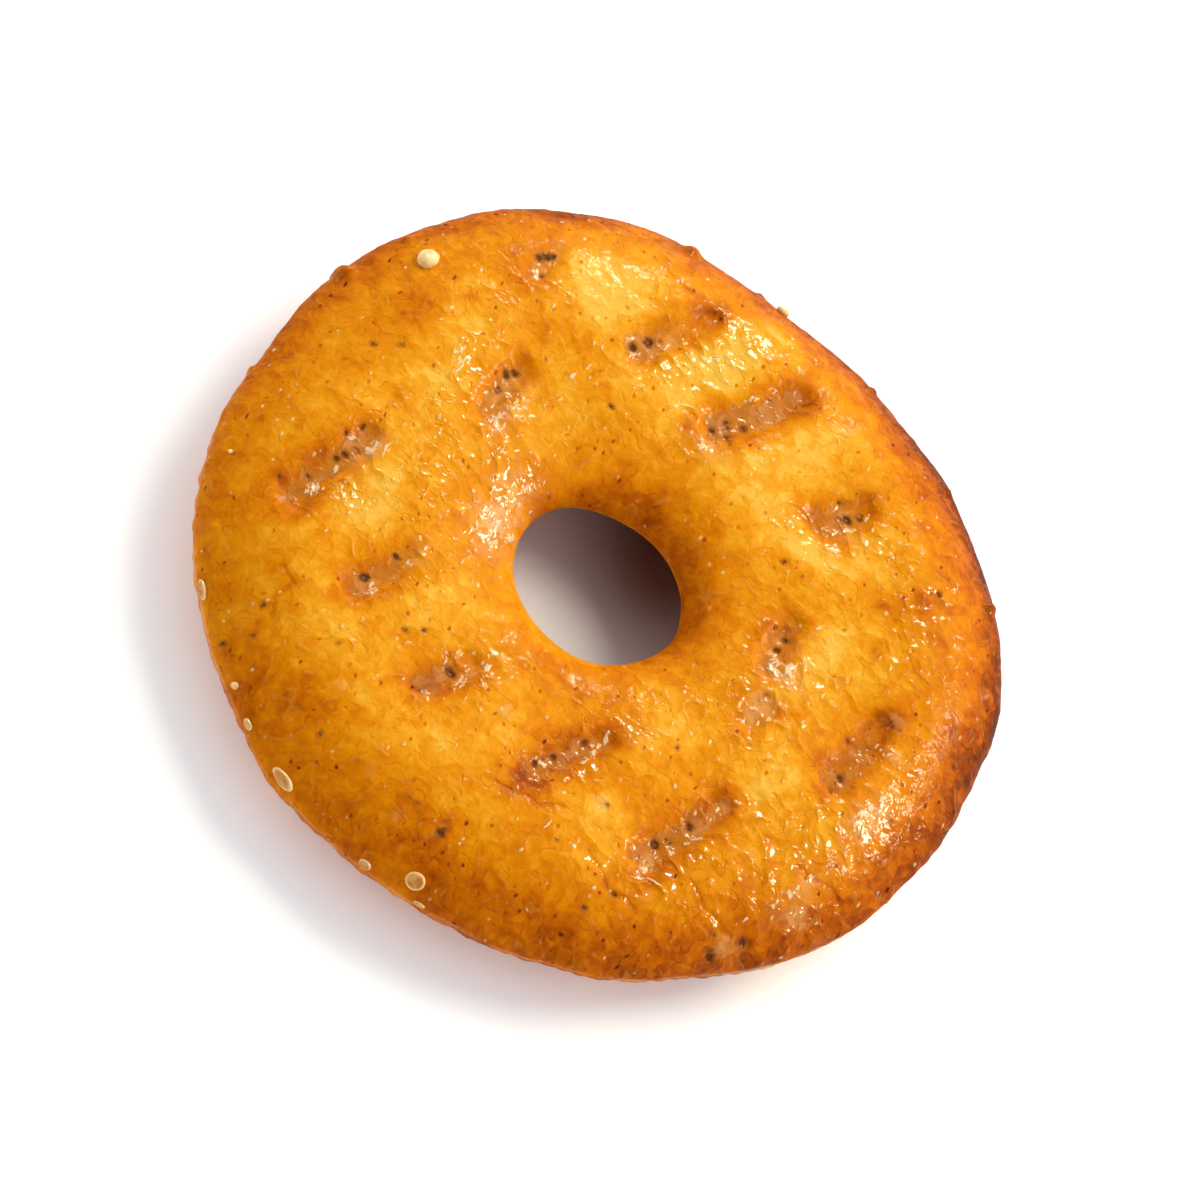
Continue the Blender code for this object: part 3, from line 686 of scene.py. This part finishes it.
# ---------------------------------------------------------------------------
# materials
# ---------------------------------------------------------------------------
class Graph:
    """A short way to write node trees."""

    def __init__(self, name):
        self.mat = bpy.data.materials.new(name)
        self.mat.use_nodes = True
        self.nt = self.mat.node_tree
        self.shader = self.nt.nodes["Principled BSDF"]

    def node(self, kind, **props):
        n = self.nt.nodes.new(kind)
        for k, v in props.items():
            setattr(n, k, v)
        return n

    def put(self, socket, value):
        if isinstance(value, bpy.types.NodeSocket):
            self.nt.links.new(value, socket)
        elif value is not None:
            socket.default_value = value

    def math(self, op, a, b=None, c=None, clamp=False):
        n = self.node("ShaderNodeMath", operation=op, use_clamp=clamp)
        for s, v in zip(n.inputs, (a, b, c)):
            self.put(s, v)
        return n.outputs[0]

    def attr(self, name, out="Fac"):
        return self.node("ShaderNodeAttribute", attribute_name=name).outputs[out]

    def coords(self):
        return self.node("ShaderNodeTexCoord").outputs["Object"]

    def scaled(self, vec, scale, rotate=(0, 0, 0)):
        n = self.node("ShaderNodeMapping")
        self.put(n.inputs["Vector"], vec)
        n.inputs["Scale"].default_value = scale
        n.inputs["Rotation"].default_value = rotate
        return n.outputs[0]

    def vector(self, op, a, b=None, c=None):
        n = self.node("ShaderNodeVectorMath", operation=op)
        for sock, v in zip(n.inputs, (a, b, c)):
            self.put(sock, v)
        return n.outputs[0]

    def shifted(self, vec, by):
        return self.vector("ADD", vec, by)

    def cells(self, vec, scale):
        """Distance from the nearest cell's middle, and that cell's own numbers."""
        n = self.node("ShaderNodeTexVoronoi")
        self.put(n.inputs["Vector"], vec)
        n.inputs["Scale"].default_value = scale
        split = self.node("ShaderNodeSeparateColor")
        self.put(split.inputs[0], n.outputs["Color"])
        return n.outputs["Distance"], split.outputs[0], split.outputs[1], split.outputs[2]

    def noise(self, vec, scale, detail=2.0, rough=0.5, distort=0.0, kind="FBM"):
        n = self.node("ShaderNodeTexNoise", noise_type=kind, normalize=True)
        self.put(n.inputs["Vector"], vec)
        n.inputs["Scale"].default_value = scale
        n.inputs["Detail"].default_value = detail
        n.inputs["Roughness"].default_value = rough
        n.inputs["Distortion"].default_value = distort
        return n.outputs["Fac"]

    def voronoi(self, vec, scale, feature="F1", random=1.0, out="Distance"):
        n = self.node("ShaderNodeTexVoronoi", feature=feature)
        self.put(n.inputs["Vector"], vec)
        n.inputs["Scale"].default_value = scale
        n.inputs["Randomness"].default_value = random
        return n.outputs[out]

    def range(self, value, a, b, lo=0.0, hi=1.0, smooth=True):
        n = self.node("ShaderNodeMapRange",
                      interpolation_type="SMOOTHSTEP" if smooth else "LINEAR")
        self.put(n.inputs["Value"], value)
        for s, v in zip(n.inputs[1:5], (a, b, lo, hi)):
            self.put(s, v)
        return n.outputs[0]

    def ramp(self, value, stops):
        n = self.node("ShaderNodeValToRGB")
        self.put(n.inputs[0], value)
        els = n.color_ramp.elements
        while len(els) > 1:
            els.remove(els[0])
        els[0].position, els[0].color = stops[0][0], (*stops[0][1], 1)
        for pos, col in stops[1:]:
            e = els.new(pos)
            e.color = (*col, 1)
        return n.outputs[0]

    def mix(self, fac, a, b, blend="MIX"):
        n = self.node("ShaderNodeMix", data_type="RGBA", blend_type=blend)
        self.put(n.inputs[0], fac)
        self.put(n.inputs[6], a)
        self.put(n.inputs[7], b)
        return n.outputs[2]

    def bump(self, height, depth_mm, normal=None, strength=1.0):
        n = self.node("ShaderNodeBump")
        n.inputs["Strength"].default_value = strength
        n.inputs["Distance"].default_value = depth_mm * MM
        self.put(n.inputs["Height"], height)
        self.put(n.inputs["Normal"], normal)
        return n.outputs[0]


def crust_material():
    g = Graph("crust_glazed")
    m = g.math
    tone0, smooth, glaze, wet = g.attr("tone"), g.attr("smooth"), g.attr("glaze"), g.attr("wet")
    dash_d, dash_s, dash_k = g.attr("dash_d"), g.attr("dash_s"), g.attr("dash_k")
    dash_end, pin_d, film_sheen_d = g.attr("dash_end"), g.attr("pin_d"), g.attr("film_sheen_d")
    crack_d, bare, lip, mott = g.attr("crack_d"), g.attr("bare"), g.attr("lip"), g.attr("mott")
    pos = g.attr("place", "Vector")

    fleck = g.noise(pos, 1200, 2, 0.6)
    fine = g.noise(g.scaled(pos, (1.0, 0.5, 1.0)), 3600, 1, 0.6)
    # short strokes: lines where a noise crosses its middle value, broken up by the flecks
    n_a = g.noise(pos, 660, 0, 0.5)
    n_b = g.noise(g.shifted(pos, (0.13, 0.07, 0.31)), 1050, 0, 0.5)
    fold_a = m("ABSOLUTE", m("MULTIPLY_ADD", n_a, 2.0, -1.0))
    fold_b = m("ABSOLUTE", m("MULTIPLY_ADD", n_b, 2.0, -1.0))
    pale = m("MULTIPLY", g.range(fold_a, 0.00, 0.17, 1.0, 0.0), g.range(fleck, 0.53, 0.64))
    dark = m("MULTIPLY", g.range(fold_b, 0.00, 0.18, 1.0, 0.0), g.range(fleck, 0.48, 0.37))
    # flat scales with fairly sharp edges, a millimetre or so across
    scales = m("ADD", g.range(n_a, 0.465, 0.535, -0.030, 0.030), g.range(n_b, 0.46, 0.54, -0.028, 0.028))
    # tiny blisters and pits, longer one way than the other
    cell, pick, vary, shard = g.cells(g.scaled(pos, (1.0, 0.62, 1.0)), 1500)
    blister = m("MULTIPLY", g.range(cell, 0.06, 0.24, 1.0, 0.0), g.range(pick, 0.70, 0.74))
    spare = m("MULTIPLY_ADD", glaze, 0.22, pick)
    pit = m("MULTIPLY", g.range(cell, 0.06, 0.25, 1.0, 0.0), g.range(spare, 0.46, 0.42))

    # ---- colour: baked from pale yellow to dark brown
    tone = m("MULTIPLY_ADD", m("SUBTRACT", fleck, 0.5), 0.44, tone0)
    tone = m("MULTIPLY_ADD", m("SUBTRACT", fine, 0.5), 0.16, tone)
    tone = m("MULTIPLY_ADD", dark, 0.14, tone)
    tone = m("MULTIPLY_ADD", pale, -0.05, tone)
    tone = m("ADD", tone, scales)
    tone = m("MULTIPLY_ADD", m("MULTIPLY", pit, g.range(vary, 0.0, 1.0, 0.25, 1.0)), 0.46, tone)
    halo = m("MULTIPLY", dash_k, g.range(dash_d, 1.7, -0.3))
    tone = m("MULTIPLY_ADD", halo, 0.23, tone)
    tone = m("MULTIPLY_ADD", g.range(crack_d, 0.36, 0.0), 0.15, tone)
    base = g.ramp(tone, ((0.00, (0.82, 0.43, 0.050)), (0.14, (0.785, 0.328, 0.012)),
                         (0.32, (0.705, 0.235, 0.0012)), (0.50, (0.600, 0.158, 0.0004)),
                         (0.66, (0.455, 0.095, 0.0005)), (0.82, (0.26, 0.045, 0.0012)),
                         (1.00, (0.10, 0.018, 0.0030))))
    base = g.mix(m("MULTIPLY", pale, 0.15), base, (0.82, 0.46, 0.09, 1))
    # painted sheen: pale patches in place of a soft reflection of the lamps
    painted_sheen = m("MULTIPLY", g.attr("painted_sheen"), g.range(m("MULTIPLY_ADD", fine, 0.5, fleck), 0.62, 0.86))
    base = g.mix(m("MULTIPLY", painted_sheen, 0.52), base, (0.91, 0.60, 0.30, 1))
    # pale tops on the tiny blisters: painted glints
    base = g.mix(m("MULTIPLY", blister, g.range(vary, 0.0, 1.0, 0.20, 0.75)), base,
                 (0.90, 0.66, 0.28, 1))
    base = g.mix(m("MULTIPLY", lip, 0.42), base, (0.86, 0.45, 0.15, 1))
    # pale cream where the coat misses the edge
    cream = g.mix(g.range(fleck, 0.35, 0.65), (0.80, 0.50, 0.16, 1), (0.88, 0.66, 0.33, 1))
    base = g.mix(m("MULTIPLY", bare, g.range(mott, 0.34, 0.50)), base, cream)

    # ---- the dashes: a torn taupe film, strongest at its lower end
    tear = m("SUBTRACT", fleck, 0.5)
    torn = m("MULTIPLY_ADD", tear, 2.6, dash_d)
    inside = g.range(torn, -0.14, -0.56)
    fades = g.range(m("SUBTRACT", dash_s, dash_end), -0.8, 0.3, 1.0, 0.10)
    film = m("MULTIPLY", m("MULTIPLY", inside, fades), dash_k)
    taupe = g.mix(g.range(shard, -0.2, 1.2), (0.35, 0.118, 0.022, 1), (0.60, 0.265, 0.085, 1))
    taupe = g.mix(g.range(mott, 0.42, 0.62), taupe, (0.48, 0.150, 0.008, 1))
    base = g.mix(m("MULTIPLY", film, 0.68), base, taupe)
    # pinkish pale films: partly dried glaze, partly a painted sheen
    patch = m("MULTIPLY_ADD", m("SUBTRACT", fleck, 0.5), 1.5, film_sheen_d)
    pink = g.range(patch, 0.20, -0.35)
    rose = g.mix(g.range(shard, 0.3, 0.8), (0.68, 0.250, 0.042, 1), (0.78, 0.40, 0.14, 1))
    base = g.mix(m("MULTIPLY", pink, 0.40), base, rose)
    # a brown shore along parts of each film
    shore = m("MULTIPLY", g.range(m("ABSOLUTE", m("ADD", torn, 0.35)), 0.22, 0.02),
              m("MULTIPLY", m("MULTIPLY", dash_k, fades), g.range(mott, 0.62, 0.44)))
    base = g.mix(m("MULTIPLY", shore, 0.40), base, (0.27, 0.07, 0.010, 1))
    # pinholes, each with a brown surround
    ragged = m("MULTIPLY_ADD", m("SUBTRACT", fleck, 0.5), 0.55, pin_d)
    base = g.mix(m("MULTIPLY", g.range(ragged, 0.26, -0.04), 0.50), base, (0.22, 0.060, 0.012, 1))
    hole = g.range(ragged, 0.05, -0.19)
    base = g.mix(m("MULTIPLY", hole, 0.9), base, g.mix(g.range(pin_d, -0.17, -0.28),
                 (0.082, 0.022, 0.007, 1), (0.24, 0.100, 0.048, 1)))
    # painted glints: short pale streaks, broken up by the wrinkles
    painted_glint = g.attr("painted_glint")
    glint_stroke = m("MULTIPLY_ADD", m("SUBTRACT", fleck, 0.5), 0.9, m("MULTIPLY", painted_glint, 0.80))
    glint_stroke = m("MULTIPLY_ADD", m("SUBTRACT", fine, 0.5), 2.6, glint_stroke)
    glint_stroke = m("MULTIPLY", g.range(glint_stroke, 0.40, 0.72), g.range(painted_glint, 0.06, 0.30))
    base = g.mix(m("MULTIPLY", glint_stroke, 0.62), base, (0.93, 0.72, 0.42, 1))
    g.put(g.shader.inputs["Base Color"], base)

    # ---- gloss: an uneven egg-wash glaze over a satin crust
    rough = m("MULTIPLY_ADD", m("SUBTRACT", fine, 0.5), 0.20, 0.50)
    rough = m("MULTIPLY_ADD", glaze, -0.08, rough)
    g.put(g.shader.inputs["Roughness"], rough)
    coat = m("MULTIPLY", wet, g.range(glaze, 0.20, 0.90, 0.12, 1.0))
    coat = m("MULTIPLY", coat, g.range(dash_d, -0.2, 1.0, 0.30, 1.0))
    coat = m("MAXIMUM", coat, m("MULTIPLY", m("MAXIMUM", blister, glint_stroke), 0.8))
    coat = m("MAXIMUM", coat, m("MULTIPLY", m("MAXIMUM", film, pink), 0.4))
    coat = m("MULTIPLY", coat, m("MULTIPLY_ADD", hole, -0.9, 1.0))
    g.put(g.shader.inputs["Coat Weight"], m("MULTIPLY", coat, 1.0, clamp=True))
    g.shader.inputs["Coat Roughness"].default_value = 0.065
    g.shader.inputs["Coat IOR"].default_value = 1.5
    g.shader.inputs["IOR"].default_value = 1.45
    g.shader.inputs["Specular IOR Level"].default_value = 0.03

    # ---- relief, in millimetres
    crease = m("MULTIPLY_ADD", fold_a, -0.138, m("MULTIPLY", fold_b, -0.070))
    h = m("MULTIPLY", crease, m("MULTIPLY_ADD", glaze, 1.1, 0.06))
    h = m("MULTIPLY_ADD", pale, 0.018, h)
    h = m("MULTIPLY_ADD", dark, -0.018, h)
    h = m("MULTIPLY_ADD", fleck, 0.078, h)
    h = m("MULTIPLY_ADD", fine, 0.012, h)
    h = m("MULTIPLY_ADD", blister, 0.055, h)
    h = m("MULTIPLY_ADD", pit, -0.050, h)
    calm = m("MULTIPLY", smooth, g.range(glaze, 0.2, 0.9, -0.75, -0.15))
    h = m("MULTIPLY", h, m("ADD", calm, 1.0))
    h = m("MULTIPLY_ADD", m("MULTIPLY", m("MAXIMUM", film, pink), shard), 0.06, h)
    h = m("MULTIPLY_ADD", glint_stroke, 0.035, h)
    h = m("MULTIPLY_ADD", hole, -0.10, h)
    h = m("MULTIPLY_ADD", g.range(crack_d, 0.20, 0.02), -0.03, h)
    n = g.bump(h, 1.0)
    g.put(g.shader.inputs["Normal"], n)
    g.put(g.shader.inputs["Coat Normal"], n)
    return g.mat


def grain_material(name, dark, light, edge, rough, coat, subsurface):
    g = Graph(name)
    m = g.math
    pos = g.coords()
    a, b = g.noise(pos, 900, 2, 0.6), g.noise(pos, 3000, 2, 0.6)
    mixed = m("MULTIPLY_ADD", m("SUBTRACT", b, 0.5), 0.6, a)
    base = g.mix(g.range(mixed, 0.34, 0.66), (*dark, 1), (*light, 1))
    base = g.mix(g.attr("edge"), base, (*edge, 1))
    g.put(g.shader.inputs["Base Color"], base)
    g.put(g.shader.inputs["Roughness"], m("MULTIPLY_ADD", m("SUBTRACT", b, 0.5), 0.3, rough))
    g.shader.inputs["Specular IOR Level"].default_value = 0.2
    g.shader.inputs["Coat Weight"].default_value = coat
    g.shader.inputs["Coat Roughness"].default_value = 0.10
    h = m("MULTIPLY_ADD", a, 0.10, m("MULTIPLY", b, 0.03))
    g.put(g.shader.inputs["Normal"], g.bump(h, 1.0))
    g.shader.inputs["Subsurface Weight"].default_value = subsurface
    g.shader.inputs["Subsurface Radius"].default_value = (1.0, 0.6, 0.3)
    g.shader.inputs["Subsurface Scale"].default_value = 0.0006
    return g.mat


def floor_material():
    """A white table top. Outside the ring it glows a little, a painted light that keeps its shade light;
    under the ring it is darker and warmer, a painted shadow where the pile's shade falls."""
    g = Graph("floor_white")
    tint = g.noise(g.coords(), 9, 2, 0.5)
    white = g.mix(tint, (0.958, 0.954, 0.952, 1), (0.968, 0.966, 0.964, 1))
    # painted shadow: a dark, warm spot on the floor seen through the hole
    off = g.vector("SUBTRACT", g.coords(), (0.0020, 0.0086, 0.0))
    near = g.node("ShaderNodeVectorMath", operation="LENGTH")
    g.put(near.inputs[0], off)
    shade = g.range(near.outputs["Value"], 0.0115, 0.0010)
    g.put(g.shader.inputs["Base Color"], g.mix(shade, white, (0.23, 0.110, 0.072, 1)))
    # painted light: the floor glows a little outside the ring, so that the ring's cast shade stays light
    middle = g.node("ShaderNodeVectorMath", operation="LENGTH")
    g.put(middle.inputs[0], g.coords())
    g.put(g.shader.inputs["Emission Strength"],
          g.range(middle.outputs["Value"], 0.020, 0.030, 0.0, 0.25))
    g.shader.inputs["Emission Color"].default_value = (0.89, 0.98, 1.0, 1.0)
    g.shader.inputs["Roughness"].default_value = 0.65
    g.shader.inputs["Specular IOR Level"].default_value = 0.2
    return g.mat


# ---------------------------------------------------------------------------
# the ring
# ---------------------------------------------------------------------------
ring, ring_co, ring_normal = make_ring()
ring.data.materials.append(crust_material())
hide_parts("pretzel")
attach(ring, "root")

# ---------------------------------------------------------------------------
# grains and crumbs stuck to the crust, at true size
# ---------------------------------------------------------------------------
def unit_sphere(steps):
    import bmesh
    bm = bmesh.new()
    bmesh.ops.create_icosphere(bm, subdivisions=steps, radius=1.0)
    co = np.array([v.co for v in bm.verts], float)
    faces = np.array([[v.index for v in f.verts] for f in bm.faces])
    bm.free()
    return co, faces


BALL = unit_sphere(4)


def on_skin(x, y, z=None):
    """The skin's point nearest to a place in mm, and its normal there."""
    flat = ring_co.reshape(-1, 3)
    d = (flat[:, 0] - x - SHIFT[0]) ** 2 + (flat[:, 1] - y - SHIFT[1]) ** 2
    if z is None:
        d = d + (flat[:, 2] < 4.0) * 100
    else:
        d = d + (flat[:, 2] - z) ** 2
    i = int(np.argmin(d))
    return flat[i], ring_normal.reshape(-1, 3)[i]


def grains(name, places, material, shape):
    """One mesh of all the grains of a kind: (x, y, z or None, length, width, height, turn, seed)."""
    verts, faces, edges, start = [], [], [], 0
    for x, y, z, length, width, height, turn, seed in places:
        at, up = on_skin(x, y, z)
        co, tri = shape(seed)
        edges.append(ease((np.hypot(co[:, 0], co[:, 1]) - 0.70) / 0.25))
        co = co * np.array([length, width, height]) / 2.0
        up = Vector(up)
        side = Vector((math.cos(math.radians(turn)), math.sin(math.radians(turn)), 0.0))
        side = (side - up * side.dot(up)).normalized()
        other = up.cross(side)
        frame_m = np.array([side, other, up]).T
        co = co @ frame_m.T + at + np.array(up) * height * 0.22
        co[:, 2] = np.maximum(co[:, 2], 0.02)
        verts.append(co)
        faces.append(tri + start)
        start += len(co)
    ob = new_mesh(name, np.concatenate(verts), np.concatenate(faces))
    attribute(ob, "edge", np.concatenate(edges) * (0.85 if shape is disc_shape else 0.45))
    ob.data.materials.append(material)
    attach(ob, "root")
    return ob


def pebble_shape(seed):
    co, tri = BALL
    r = 1.0 + 0.13 * fbm(co, 1.1, seed, 2) + 0.05 * noise(co, 0.35, seed + 5)
    return co * r[:, None], tri


def disc_shape(seed):
    """A flat see-through disc with a raised edge and small cells."""
    co, tri = BALL
    r = np.hypot(co[:, 0], co[:, 1])
    wavy = 1.0 + 0.08 * noise(np.stack([co[:, 0], co[:, 1], 0 * r], 1), 0.9, seed)
    z = np.sign(co[:, 2]) * np.sqrt(np.clip(1 - r ** 6, 0, 1))
    z = z * (0.72 + 0.28 * np.exp(-((r - 0.82) / 0.13) ** 2))
    flat = np.stack([co[:, 0], co[:, 1], 0 * r], 1)
    z = z - (co[:, 2] > 0) * 0.45 * np.maximum(noise(flat, 0.42, seed + 9) - 0.05, 0)
    return np.stack([co[:, 0] * wavy, co[:, 1] * wavy, z], 1), tri


def crumb_shape(seed):
    co, tri = BALL
    r = 1.0 + 0.30 * fbm(co, 0.8, seed, 3) + 0.10 * noise(co, 0.25, seed + 3)
    return co * r[:, None], tri


white = grain_material("grain_cream", (0.86, 0.52, 0.19), (0.95, 0.72, 0.37),
                       (0.86, 0.50, 0.17), 0.42, 0.3, 0.25)
amber = grain_material("grain_amber", (0.58, 0.24, 0.040), (0.76, 0.40, 0.105),
                       (0.88, 0.62, 0.30), 0.34, 0.7, 0.25)
toast = grain_material("crumb_toasted", (0.62, 0.32, 0.08), (0.86, 0.60, 0.28),
                       (0.86, 0.60, 0.28), 0.48, 0.3, 0.2)

grains("grains_cream", (
    (-22.3, 10.5, None, 1.62, 1.42, 0.8, 100, 3),
    (-14.6, -23.0, None, 0.55, 0.5, 0.40, 20, 4),
    (-2.2, 26.4, None, 0.95, 0.8, 0.60, 0, 6),
    (-24.3, -9.9, None, 0.32, 0.3, 0.25, 0, 7),
    (15.0, -20.3, 2.4, 1.3, 0.9, 0.7, 60, 8), (-21.5, 10.0, 2.0, 1.2, 1.0, 0.7, 10, 9),
), white, pebble_shape)
grains("grains_amber", (
    (2.0, -26.6, None, 1.35, 1.20, 0.80, 10, 13),
    (-8.4, -26.1, 4.7, 1.9, 0.85, 0.40, -18, 14),
    (-1.1, -27.2, 4.6, 0.9, 0.6, 0.40, 0, 15),
    (3.3, -27.0, 4.6, 0.85, 0.30, 0.28, 12, 16),
    (-20.2, -18.6, 4.6, 1.5, 0.55, 0.35, -48, 17),
    (-12.6, -24.6, 4.7, 0.9, 0.5, 0.30, -28, 18),
    (4.2, 22.0, 1.9, 2.2, 1.4, 0.7, 40, 19), (-23.0, -6.5, 2.2, 1.9, 1.2, 0.6, 80, 20),
), amber, disc_shape)
grains("discs_dome", (
    (19.5, 9.5, 1.6, 4.3, 3.9, 0.75, 20, 23), (-14.5, -17.0, 1.7, 3.6, 3.2, 0.7, 60, 24),
    (-20.2, 5.5, 1.4, 2.9, 2.6, 0.6, 0, 25), (8.5, -21.5, 2.1, 2.4, 2.2, 0.55, 30, 26),
), amber, disc_shape)
grains("crumbs_dome", (
    (-6.5, 20.5, 1.7, 3.4, 2.4, 1.3, 30, 33), (20.8, -8.0, 1.9, 2.6, 2.0, 1.1, 100, 34),
    (9.0, 5.0, 1.9, 2.2, 1.6, 1.0, 50, 35),
), toast, crumb_shape)

# ---------------------------------------------------------------------------
# floor, light, camera
# ---------------------------------------------------------------------------
bpy.ops.mesh.primitive_plane_add(size=6.0, location=(0, 0, 0))
floor = bpy.context.object
floor.name = "floor"
floor.data.materials.append(floor_material())


def area_light(name, azimuth, elevation, distance, size, watts, colour=(1, 1, 1)):
    """A soft box aimed at the ring; azimuth is counted from +X towards +Y."""
    data = bpy.data.lights.new(name, "AREA")
    data.shape = "RECTANGLE"
    data.size, data.size_y = size
    data.energy = watts
    data.color = colour
    ob = bpy.data.objects.new(name, data)
    a, e = math.radians(azimuth), math.radians(elevation)
    d = Vector((math.cos(a) * math.cos(e), math.sin(a) * math.cos(e), math.sin(e)))
    ob.location = Vector((0, 0, 0.004)) + d * distance
    ob.rotation_euler = (-d).to_track_quat("-Z", "Y").to_euler()
    bpy.context.scene.collection.objects.link(ob)
    return ob


WARM, COOL = (1.0, 0.953, 0.775), (0.985, 1.0, 1.06)
# a broad key and a weak fill carry the light; two small lamps give only the glints
key = area_light("key_soft", 64, 43, 1.2, (0.85, 0.75), 13.8, WARM)
fill = area_light("fill_front", 215, 38, 1.2, (0.60, 0.50), 1.0, COOL)
key.visible_glossy = fill.visible_glossy = False
for name, azimuth, elevation, size, watts in (("glint_side", 46, 38, (0.30, 0.21), 10.0),
                                              ("glint_back", 97, 33, (0.26, 0.14), 7.6)):
    lamp = area_light(name, azimuth, elevation, 1.2, size, watts, (1.0, 0.95, 0.68))
    lamp.visible_diffuse = False

# white walls round the table, under a darker ceiling
world = bpy.data.worlds.new("studio")
world.use_nodes = True
tree = world.node_tree
where = tree.nodes.new("ShaderNodeTexCoord")
split = tree.nodes.new("ShaderNodeSeparateXYZ")
fall = tree.nodes.new("ShaderNodeMapRange")
tree.links.new(where.outputs["Generated"], split.inputs[0])
tree.links.new(split.outputs["Z"], fall.inputs["Value"])
for sock, v in zip(fall.inputs[1:5], (0.0, 1.0, 1.60, 0.20)):
    sock.default_value = v
# and brighter towards the window side
lean = tree.nodes.new("ShaderNodeVectorMath")
lean.operation = "DOT_PRODUCT"
lean.inputs[1].default_value = (0.45 * math.cos(math.radians(64)),
                                0.45 * math.sin(math.radians(64)), 0.0)
tree.links.new(where.outputs["Generated"], lean.inputs[0])
both = tree.nodes.new("ShaderNodeMath")
both.operation = "MULTIPLY_ADD"
tree.links.new(lean.outputs["Value"], both.inputs[0])
tree.links.new(fall.outputs[0], both.inputs[1])
tree.links.new(fall.outputs[0], both.inputs[2])
tree.links.new(both.outputs[0], tree.nodes["Background"].inputs[1])
tree.nodes["Background"].inputs[0].default_value = (*COOL, 1)
world.cycles_visibility.glossy = False
bpy.context.scene.world = world

# camera: as steep to the ring's plane as in the photograph, turned about its axis
ELEVATION, ROLL = 56.2, 38.3
DISTANCE, SPAN = 0.90, 0.0545 / 0.70
cam_data = bpy.data.cameras.new("camera")
cam = bpy.data.objects.new("camera", cam_data)
bpy.context.scene.collection.objects.link(cam)
aim = Vector((0.0, 0.0, 0.0048))
e = math.radians(ELEVATION)
back = Vector((0.0, -math.cos(e), math.sin(e)))
turn = (-back).to_track_quat("-Z", "Y").to_matrix().to_4x4()
cam.matrix_world = (Matrix.Translation(aim + back * DISTANCE) @ turn
                    @ Matrix.Rotation(math.radians(ROLL), 4, "Z"))
cam_data.sensor_width = 36.0
cam_data.lens = 36.0 * DISTANCE / SPAN
cam_data.clip_start, cam_data.clip_end = 0.01, 20.0
bpy.context.scene.camera = cam

scene = bpy.context.scene
scene.view_settings.view_transform = "Standard"
scene.view_settings.look = "None"
scene.view_settings.exposure = 0.0
scene.view_settings.gamma = 1.0
